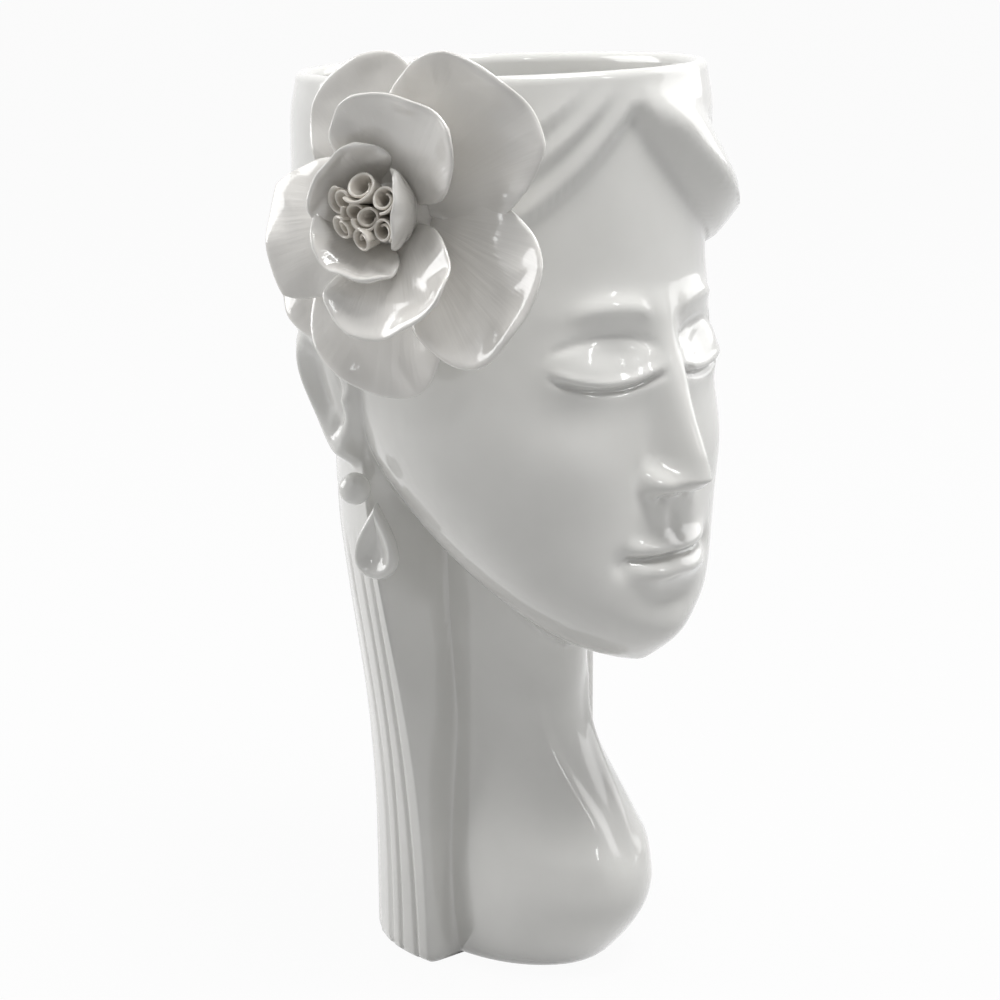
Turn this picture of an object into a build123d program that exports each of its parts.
from build123d import *
import os
from math import cos, exp, sin, pi, radians, sqrt

# Head planter: a hollow glazed head on a neck, open at the top, with a hand-built flower
# on the right temple and drop earrings. Millimetres, +Z up, the face looks along -Y and
# the origin is the middle of the resting face.

# Vessel
rim_height = 318.0
rim_slope = 3.0
head_half_width = 70.0
head_half_depth = 75.0
wall = 7.0
floor_thickness = 9.0

# Face and jaw
face_half_width = 66.5
forehead_reach = 71.0
chin_reach = 86.0
chin_height = 119.0
chin_round = 18.0
jaw_top = 230.0
face_back = 50.0

# Neck, bust flare and foot
neck_height = 110.0
neck_half_width = 26.0
neck_front = -36.0
neck_middle = 1.0
flare_height = 32.0
flare_half_width = 34.0
flare_front = -66.0
flare_middle = -22.0
foot_half_width = 30.0
foot_front = -46.5
foot_middle = -4.0
throat_back = 34.0

# Hair
hair_foot_radius = 45.0
hair_nape_radius = 58.0
nape_height = 180.0
crown_height = 236.0
hair_front_floor = -9.0
hair_front_ear = 8.0
ear_height = 190.0
parting_height = 306.0
parting_across = -11.0
band_fall = 110.0
band_run = 95.0
lock_fall = 70.0
lock_run = 60.0
temple_height = 240.0
lock_reach = 10.0
lock_end = 52.0
lock_underside = 11.0
lock_height = 40.0

# Features of the face
brow_height = 242.0
eye_height = 226.0
eye_spacing = 42.0
lid_half_length = 14.0
lid_radius = 7.5
lid_swell = 3.0
nose_base = 181.0
nose_half_width = 10.5
nose_reach = 17.0
mouth_height = 160.0
mouth_half_width = 19.0
lip_swell = 3.2
socket_depth = 4.5
cheek_swell = 2.6
chin_swell = 3.6
brow_swell = 2.0

# Ears and earrings
ear_middle = 212.0
ear_back = 15.0
ear_half_height = 27.0
ear_half_width = 13.0
ear_swell = 7.0
ear_hollow = 4.5
bead_radius = 5.6
bead_height = 178.5
drop_radius = 8.2
drop_length = 27.0
drop_thickness = 6.0

# Flower
seat_back = -27.0
seat_height = 276.0
flower_turn = 196.0
flower_tilt = 9.0
seat_play = 0.06
pad_radius = 13.0
pad_top_radius = 9.5
pad_height = 17.0
petal_middle = 2.4
petal_edge = 1.3
roll_length = 15.0
roll_foot_radius = 1.9
roll_mouth_radius = 3.2
roll_wall = 0.9
roll_ring = 5.6
roll_lean = 11.0

# Petals: clock angle, root radius, root height, length, width, lift at the root, lift at
# the tip, roll, cupping, share of the width at the root, place of the greatest width.
outer_petals = [
    (54, 4, 7.5, 58, 52, 22, 8, 8, 0.15, 0.35, 0.62),
    (-30, 4, 5.0, 61, 50, 16, 14, 0, 0.10, 0.35, 0.64),
    (-104, 4, 2.5, 55, 52, 10, 2, 0, 0.06, 0.35, 0.72),
    (187, 4, 4.0, 48, 46, 30, 0, 0, -0.10, 0.35, 0.66),
    (216, 4, 0.0, 54, 38, 6, -6, 0, 0.10, 0.35, 0.62),
    (123, 4, 0.0, 48, 44, 16, 8, 0, 0.10, 0.35, 0.62),
]
middle_petals = [
    (79, 4, 11.0, 41, 46, 38, 26, 0, 0.30, 0.40, 0.60),
    (-66, 4, 11.0, 41, 42, 30, 25, 0, 0.30, 0.40, 0.60),
]
inner_petals = [
    (-115, 8, 13.0, 23, 32, 45, 60, 0, 0.40, 0.50, 0.60),
    (136, 8, 13.0, 24, 34, 48, 64, 0, 0.40, 0.50, 0.60),
    (6, 8.8, 13.0, 23, 28, 55, 92, 0, 0.40, 0.50, 0.60),
]


def blend(low, high, share):
    """Smooth step from low to high."""
    share = min(1.0, max(0.0, share))
    return low + (high - low) * share * share * (3 - 2 * share)


def solid_between(sections, straight):
    """Solid through closed plan sections, each a height and its ring of points."""
    with BuildPart() as solid:
        for height, points in sections:
            with BuildSketch(Plane.XY.offset(height)):
                with BuildLine():
                    Spline(*points, periodic=True)
                make_face()
        loft(ruled=straight)
    return solid.part


def far_edge(half_width, front, back, middle, c, s):
    """Distance along a ray from the axis to the far edge of an egg-shaped section, 0 if missed."""
    best = 0.0
    for side, reach in ((1, back - middle), (-1, middle - front)):
        square = (c / half_width) ** 2 + (s / reach) ** 2
        slope = -2 * s * middle / reach ** 2
        rest = (middle / reach) ** 2 - 1
        inside = slope * slope - 4 * square * rest
        if inside < 0:
            continue
        for sign in (1, -1):
            distance = (-slope + sign * sqrt(inside)) / (2 * square)
            if distance > best and (distance * s - middle) * side >= 0:
                best = distance
    return best


def face_reach(height):
    """How far the face stands forward of the axis at a height."""
    share = (height - chin_height) / (rim_height - chin_height)
    return chin_reach + (forehead_reach - chin_reach) * share


def skin_section(height):
    """Egg section of the jaw and face: half width, front, back, middle."""
    share = (height - chin_height) / (jaw_top - chin_height)
    near = min(1.0, share)
    grow = sin(pi / 2 * near ** 0.58)
    front = chin_round * (1 - sin(pi / 2 * min(1.0, share / 0.25))) - face_reach(height)
    back = -45 + (face_back + 45) * sin(pi / 2 * near ** 0.9)
    middle = front + (back - front) * (0.45 + 0.15 * near)
    return face_half_width * grow, front, back, middle


def neck_section(height):
    """Egg section of the foot, the bust flare and the neck: half width, front, back, middle."""
    foot = (foot_half_width, foot_front, foot_middle)
    flare = (flare_half_width, flare_front, flare_middle)
    neck = (neck_half_width, neck_front, neck_middle)
    if height < flare_height:
        share = sin(pi / 2 * height / flare_height)
        low, high = foot, flare
    else:
        share = blend(0, 1, (height - flare_height) / (neck_height - flare_height) * 1.25)
        low, high = flare, neck
    half_width, front, middle = [a + (b - a) * share for a, b in zip(low, high)]
    return half_width, front, throat_back, middle


def hair_front(height):
    """Where the straight front edge of the falling hair lies."""
    if height < ear_height:
        return hair_front_floor + (hair_front_ear - hair_front_floor) * (height / ear_height) ** 1.5
    return hair_front_ear


def window_top(across):
    """Height of the hairline, which falls from the parting to both temples."""
    away = abs(across - parting_across)
    if across > parting_across:
        fall = lock_fall * (1 - exp(-away / lock_run))
    else:
        fall = band_fall * (1 - exp(-away / band_run))
    return max(temple_height, parting_height - fall)


def form_radius(angle, height):
    """Plain outside of the vessel about its axis: neck, face and hair, whichever stands furthest out."""
    c = cos(angle)
    s = sin(angle)
    radius = 0.0
    if height < chin_height + 60:
        radius = far_edge(*neck_section(height), c, s)
    if height > chin_height + 0.5:
        radius = max(radius, far_edge(*skin_section(height), c, s))
    if height < nape_height:
        share = blend(0, 1, height / nape_height) ** 2
        half_width = hair_foot_radius + (hair_nape_radius - hair_foot_radius) * share
        half_depth = half_width
    else:
        share = (height - nape_height) / (crown_height - nape_height)
        half_width = blend(hair_nape_radius, head_half_width, share)
        half_depth = blend(hair_nape_radius, head_half_depth, share)
    hair = 1 / sqrt((c / half_width) ** 2 + (s / half_depth) ** 2)
    edge = hair_front(height)
    if hair * s < edge and height < window_top(hair * c):
        hair = min(hair, edge / s) if edge < 0 and s < 0 else 0.0
    return max(radius, hair)


def bell(distance, spread):
    """Smooth swelling that is 1 at its middle."""
    return exp(-(distance / spread) ** 2)


def lock_swell(across, above):
    """Lock of hair swept from the parting over the left temple, at a height above the hairline."""
    grow = blend(0, 1, (across - parting_across) / 45) * (1 - blend(0, 1, (across - lock_end) / 10))
    top = blend(0, 1, (above - lock_underside - 3) / (lock_height - lock_underside - 3))
    return lock_reach * grow * blend(0, 1, above / lock_underside) * (1 - top)


def outside_radius(angle, height):
    """Outside of the vessel with its corners softened and the lids, lips and ears swelling from it."""
    radius = sum(form_radius(angle + turn, height) for turn in (-0.08, -0.04, 0, 0.04, 0.08)) / 5
    across = radius * cos(angle)
    along = radius * sin(angle)
    if along < 0:
        lids = bell(abs(across) - eye_spacing / 2, lid_half_length * 0.65)
        radius += lid_swell * lids * bell(height - eye_height, lid_radius * 0.75)
        lips = bell(height - mouth_height - 3.5, 2.8) + bell(height - mouth_height + 4.5, 3.2)
        radius += lip_swell * bell(across, mouth_half_width * 0.75) * lips
        sockets = bell(abs(across) - eye_spacing / 2 + 2, 11)
        radius -= socket_depth * sockets * bell(height - eye_height - 3, 9)
        radius += brow_swell * bell(abs(across) - eye_spacing / 2, 16) * bell(height - brow_height - 1, 6)
        radius += cheek_swell * bell(abs(across) - 36, 15) * bell(height - (nose_base + 14), 18)
        radius += chin_swell * bell(across, 14) * bell(height - chin_height - 12, 9)
        radius += lock_swell(across, height - window_top(across))
    rim = sqrt(((along - ear_back) / ear_half_width) ** 2 + ((height - ear_middle) / ear_half_height) ** 2)
    if abs(across) > head_half_width / 2:
        radius += ear_swell * blend(0, 1, (1.12 - rim) / 0.3) - ear_hollow * blend(0, 1, (0.72 - rim) / 0.3)
    return radius


def set_in(angle, height):
    """The outside set in by the wall, sideways and up and down."""
    nearest = 2 * head_half_depth
    for rise in (-1, -0.5, 0, 0.5, 1):
        level = max(0, min(height + rise * wall, rim_height))
        for turn in (-0.15, 0, 0.15):
            nearest = min(nearest, form_radius(angle + turn, level))
    return nearest - wall


def well_radius(angle, height):
    """Inside of the vessel, softened like the outside."""
    return sum(set_in(angle + turn, height) for turn in (-0.2, -0.1, 0, 0.1, 0.2)) / 5


ring_count = 96
row_gap = 2.5
ring_angles = [2 * pi * (step + 0.5) / ring_count for step in range(ring_count)]


def ring(radius_at, height):
    """One closed section as points."""
    points = []
    for angle in ring_angles:
        radius = radius_at(angle, height)
        points.append((radius * cos(angle), radius * sin(angle)))
    return height, points


# Outside and planting well
chin_rows = [chin_height + rise for rise in (-8, 4, 8, 13, 19, 27)]
mouth_rows = [mouth_height + rise for rise in (-8, -4.5, -0.5, 3.5, 7.5, 15)]
neck_rows = [neck_height * share for share in (0, 0.07, 0.15, 0.29, 0.45, 0.6, 0.75, 0.88)]
head_rows = [eye_height - 10, eye_height - 5, eye_height, eye_height + 5, crown_height]
crown_shares = (0.1, 0.25, 0.4, 0.55, 0.7, 0.82, 0.92, 1.2)
crown_rows = [crown_height + (rim_height - crown_height) * share for share in crown_shares]
ear_rows = [ear_middle + ear_half_height * share for share in (-1.05, -0.85, -0.6, -0.3, 0, 0.3)]
outer_rows = []
for height in sorted(neck_rows + chin_rows + mouth_rows + head_rows + crown_rows + ear_rows):
    if not outer_rows or height - outer_rows[-1] > row_gap:
        outer_rows.append(height)
outside = solid_between([ring(outside_radius, height) for height in outer_rows], True)
well_heights = [floor_thickness, 20, 32, 48, 66, 86, 104, 118, 128, 136, 144, 154, 166, 180, 194, 210, 226, 240,
                262, 290]
well_depth = rim_height - floor_thickness
well_heights = [floor_thickness + (height - 9) * well_depth / 309 for height in well_heights]
well = solid_between([ring(well_radius, height) for height in well_heights + [rim_height + 30]], True)

# Nose, set on the middle line of the face
nose_rows = []
for share, width_share, reach_share in ((0, 0.7, 0.72), (0.1, 1.0, 1.0), (0.25, 0.86, 0.98),
                                        (0.55, 0.6, 0.66), (0.85, 0.5, 0.36), (1.0, 0.4, 0.2)):
    height = nose_base + share * (brow_height - nose_base)
    front = -face_reach(height) - nose_reach * reach_share
    back = -face_reach(height) + wall * 0.6
    points = []
    for step in range(16):
        angle = 2 * pi * step / 16
        points.append((nose_half_width * width_share * cos(angle),
                       (front + back) / 2 + (back - front) / 2 * sin(angle)))
    nose_rows.append((height, points))
nose_solid = solid_between(nose_rows, False)

rim_plane = Plane(origin=(0, 0, rim_height), z_dir=(0, sin(radians(rim_slope)), cos(radians(rim_slope))))
with BuildPart() as head_vessel:
    add(outside)
    add(well, mode=Mode.SUBTRACT)
    split(bisect_by=rim_plane, keep=Keep.BOTTOM)
    add(nose_solid)

# Flower frame: local X towards the face, local Y up, local Z out of the head
turn = radians(flower_turn)
tilt = radians(flower_tilt)
seat_side = -head_half_width * sqrt(1 - (seat_back / head_half_depth) ** 2)
out = Vector(cos(turn) * cos(tilt), sin(turn) * cos(tilt), sin(tilt))
flower = Plane(origin=(seat_side, seat_back, seat_height), x_dir=Vector(0, 0, 1).cross(out), z_dir=out)

with BuildPart() as receptacle:
    with BuildSketch(Plane.XZ):
        with BuildLine():
            Polyline((0, -wall * 0.6), (pad_radius, -wall * 0.6), (pad_radius, 1), (pad_top_radius + 1, 6),
                     (pad_top_radius, pad_height), (0, pad_height), close=True)
        make_face()
    revolve(axis=Axis.Z)
pad_solid = receptacle.part.moved(flower.location)
with BuildPart() as head_form:
    with BuildSketch(Plane.XY.offset(jaw_top - 50)):
        Ellipse(head_half_width + seat_play, head_half_depth + seat_play)
    extrude(amount=rim_height - jaw_top + 60)
with BuildPart() as flower_receptacle:
    add(pad_solid)
    add(head_form.part, mode=Mode.SUBTRACT)


def petal(clock, root_radius, root_height, length, width, lift_root, lift_tip, roll, cup, root_share, widest):
    """Thin cupped petal on an arched spine, in the flower frame."""
    clock = radians(clock)
    outward = Vector(cos(clock), sin(clock), 0)
    around = Vector(-sin(clock), cos(clock), 0)
    axis = Vector(0, 0, 1)
    with BuildPart() as leaf:
        radius = root_radius
        height = root_height
        passed = 0.0
        for share in (0.0, 0.2, 0.4, 0.6, 0.78, 0.9, 0.97, 0.995):
            middle_lift = radians(lift_root + (lift_tip - lift_root) * (share + passed) / 2)
            radius += length * (share - passed) * cos(middle_lift)
            height += length * (share - passed) * sin(middle_lift)
            passed = share
            lift = radians(lift_root + (lift_tip - lift_root) * share)
            ahead = outward * cos(lift) + axis * sin(lift)
            upright = axis * cos(lift) - outward * sin(lift)
            lean = around * cos(radians(roll)) + upright * sin(radians(roll))
            grow = root_share + (1 - root_share) * sin(pi / 2 * min(1, share / widest))
            close = sqrt(1 - (max(0, share - widest) / (1 - widest)) ** 2)
            half = width / 2 * grow * close
            rise = cup * half
            edge = petal_edge * min(1, 0.6 + half / width)
            with BuildSketch(Plane(origin=outward * radius + axis * height, x_dir=lean, z_dir=ahead)):
                with BuildLine():
                    ThreePointArc((-half, rise), (0, 0), (half, rise))
                    Line((half, rise), (half, rise + edge))
                    ThreePointArc((half, rise + edge), (0, petal_middle), (-half, rise + edge))
                    Line((-half, rise + edge), (-half, rise))
                make_face()
        loft()
    return leaf.part.moved(flower.location)


# Petals are laid from the heart outwards, each cut back to the pieces it meets
petal_parts = []
petal_rows = [("inner_petal", inner_petals), ("middle_petal", middle_petals), ("outer_petal", outer_petals)]
for name, rows in petal_rows:
    for number, row in enumerate(rows, 1):
        with BuildPart() as trimmed:
            add(petal(*row))
            add(pad_solid, mode=Mode.SUBTRACT)
            add(head_form.part, mode=Mode.SUBTRACT)
            for other_name, other in petal_parts:
                add(other, mode=Mode.SUBTRACT)
        petal_parts.append((name + "_" + str(number), trimmed.part.solids().sort_by(SortBy.VOLUME)[-1]))

# Rolled tubes at the heart: one in the middle and a ring round it
rolls = []
rolls_around = 7
for number in range(rolls_around + 1):
    with BuildPart() as tube:
        with BuildSketch(Plane.XZ):
            with BuildLine():
                Polyline((0, -3), (roll_foot_radius, -3), (roll_foot_radius, 1),
                         (roll_mouth_radius, roll_length), (roll_mouth_radius - roll_wall, roll_length),
                         (roll_foot_radius - roll_wall, 3), (0, 3), close=True)
            make_face()
        revolve(axis=Axis.Z)
    if number == 0:
        spot = Location((0, 0, pad_height))
    else:
        bearing = 360 * (number - 1) / rolls_around
        spot = Location((0, 0, 0), (0, 0, bearing)) * Location((roll_ring, 0, pad_height), (0, roll_lean, 0))
    with BuildPart() as seated:
        add(tube.part.moved(flower.location * spot))
        add(pad_solid, mode=Mode.SUBTRACT)
    rolls.append(seated.part)

# Earrings: a bead under each ear lobe and a scooped drop hanging from it against the hair's corner
bead_reach = hair_nape_radius + bead_radius + 0.9
bead_spot = Vector(-bead_reach, 5.5, bead_height)
hang = bead_height - bead_radius - drop_length + drop_radius
corner = Vector(-sqrt(hair_nape_radius ** 2 - hair_front_ear ** 2) + 1.6, hair_front(hang), hang)
face_out = Vector(-0.94, -0.34, 0)
drop_spot = corner + face_out * (drop_thickness / 2 + 0.8) + Vector(0.34, -0.94, 0) * 1.5
drop_plane = Plane(origin=drop_spot, x_dir=(0.34, -0.94, 0), z_dir=face_out)
with BuildPart() as earring_bead:
    with Locations(bead_spot):
        Sphere(bead_radius)
with BuildPart() as drop_point:
    with BuildSketch(drop_plane):
        with BuildLine():
            Polyline((-drop_radius * 0.9, drop_radius * 0.43), (-4, drop_length - drop_radius + 1),
                     (drop_radius * 0.9, drop_radius * 0.43), close=True)
        make_face()
    extrude(amount=drop_thickness / 2, both=True)
with BuildPart() as earring_drop:
    with BuildSketch(drop_plane):
        Circle(drop_radius)
    extrude(amount=drop_thickness / 2, both=True)
    add(drop_point.part)
    add(earring_bead.part, mode=Mode.SUBTRACT)

os.makedirs("parts", exist_ok=True)
pieces = [("head_vessel", head_vessel.part), ("flower_receptacle", flower_receptacle.part)]
pieces += petal_parts
pieces += [("stamen_roll_" + str(number), roll) for number, roll in enumerate(rolls, 1)]
pieces += [("earring_bead_right", earring_bead.part), ("earring_drop_right", earring_drop.part)]
pieces += [("earring_bead_left", earring_bead.part.mirror(Plane.YZ))]
pieces += [("earring_drop_left", earring_drop.part.mirror(Plane.YZ))]
for name, piece in pieces:
    piece.label = name
    export_step(piece, "parts/" + name + ".step")
